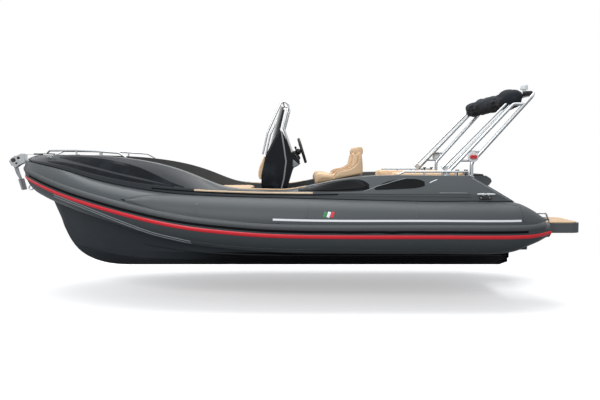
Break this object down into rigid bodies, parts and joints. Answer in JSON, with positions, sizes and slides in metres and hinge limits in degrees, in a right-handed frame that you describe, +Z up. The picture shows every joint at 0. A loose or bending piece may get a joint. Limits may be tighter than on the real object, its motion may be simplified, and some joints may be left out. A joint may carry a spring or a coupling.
{
  "type": "inflatable rib boat",
  "caption": "Rigid inflatable boat with deep-V hull, side tubes, centre console, twin helm seats, aft sofa, swim platforms, roll bar and folded bimini, without motor.",
  "frame": {"origin": "on the centreline amidships at the waterline, 360 mm above the keel line", "axes": "+X aft, +Y to starboard, +Z up"},
  "size_m": [6.162, 2.5146, 2.0153],
  "materials": {
    "hull_grey": "gloss",
    "flank_grey": "satin",
    "tube_grey": "satin",
    "strake_grey": "satin",
    "stripe_red": "gloss",
    "stripe_white": "gloss",
    "deck_grey": "gloss",
    "floor_grey": "matt",
    "panel_black": "gloss",
    "recess_dark": "gloss",
    "teak": "satin",
    "cushion_beige": "soft",
    "pad_black": "soft",
    "trim_light": "gloss",
    "glass_tint": "gloss",
    "steel": "polished",
    "black_plastic": "satin",
    "cover_black": "matt",
    "transom_ply": "gloss",
    "lens_red": "gloss",
    "lens_green": "gloss",
    "dome_white": "gloss"
  },
  "bodies": {
    "boat": {"anchor": "steel", "anchor_light": "dome_white", "backrest_pad": "pad_black", "bimini_hinges": "steel", "bow_deck": "deck_grey", "bow_eye": "steel", "bow_locker": "deck_grey", "bow_rails": "steel", "bow_roller": "steel", "bow_step": "black_plastic", "bow_sun_pad": "cushion_beige", "cockpit_floor": "floor_grey", "console_cushion": "cushion_beige", "console_dash": "black_plastic", "console_shell": "panel_black", "console_trim": "trim_light", "deck_cleats": "steel", "flank_moulding_port": "flank_grey", "flank_moulding_starboard": "flank_grey", "glossy_panels": "panel_black", "grab_handles": "steel", "gunwale_strips": "teak", "helm_seat_base": "deck_grey", "helm_seat_port": "cushion_beige", "helm_seat_starboard": "cushion_beige", "hull": "hull_grey", "lock_knobs": "black_plastic", "nav_light_port": "lens_red", "nav_light_starboard": "lens_green", "platform_teak": "teak", "quarter_panels": "recess_dark", "red_stripes": "stripe_red", "roll_bar": "steel", "rub_strakes": "strake_grey", "side_deck_port": "deck_grey", "side_deck_starboard": "deck_grey", "sofa_back": "cushion_beige", "sofa_base": "deck_grey", "sofa_seat": "cushion_beige", "stern_backrest": "deck_grey", "stern_moulding": "deck_grey", "stern_rails": "steel", "swim_platform_port": "deck_grey", "swim_platform_starboard": "deck_grey", "transom_board": "transom_ply", "tube_cones": "tube_grey", "tube_port": "tube_grey", "tube_starboard": "tube_grey", "white_stripes": "stripe_white", "windscreen": "glass_tint", "windscreen_rail": "steel"},
    "wheel": {"steering_wheel": "black_plastic"},
    "bimini": {"bimini_frame": "steel", "bimini_cover": "cover_black"}
  },
  "joints": [
    {"name": "steering", "type": "hinge", "parent": "boat", "child": "wheel", "pos_m": [0.024, 0.15, 0.953], "axis": [0.9563, 0, 0.2924], "range_deg": [-540, 540]},
    {"name": "bimini_fold", "type": "hinge", "parent": "boat", "child": "bimini", "pos_m": [1.485, 0, 0.745], "axis": [0, -1, 0], "range_deg": [0, 79]}
  ]
}
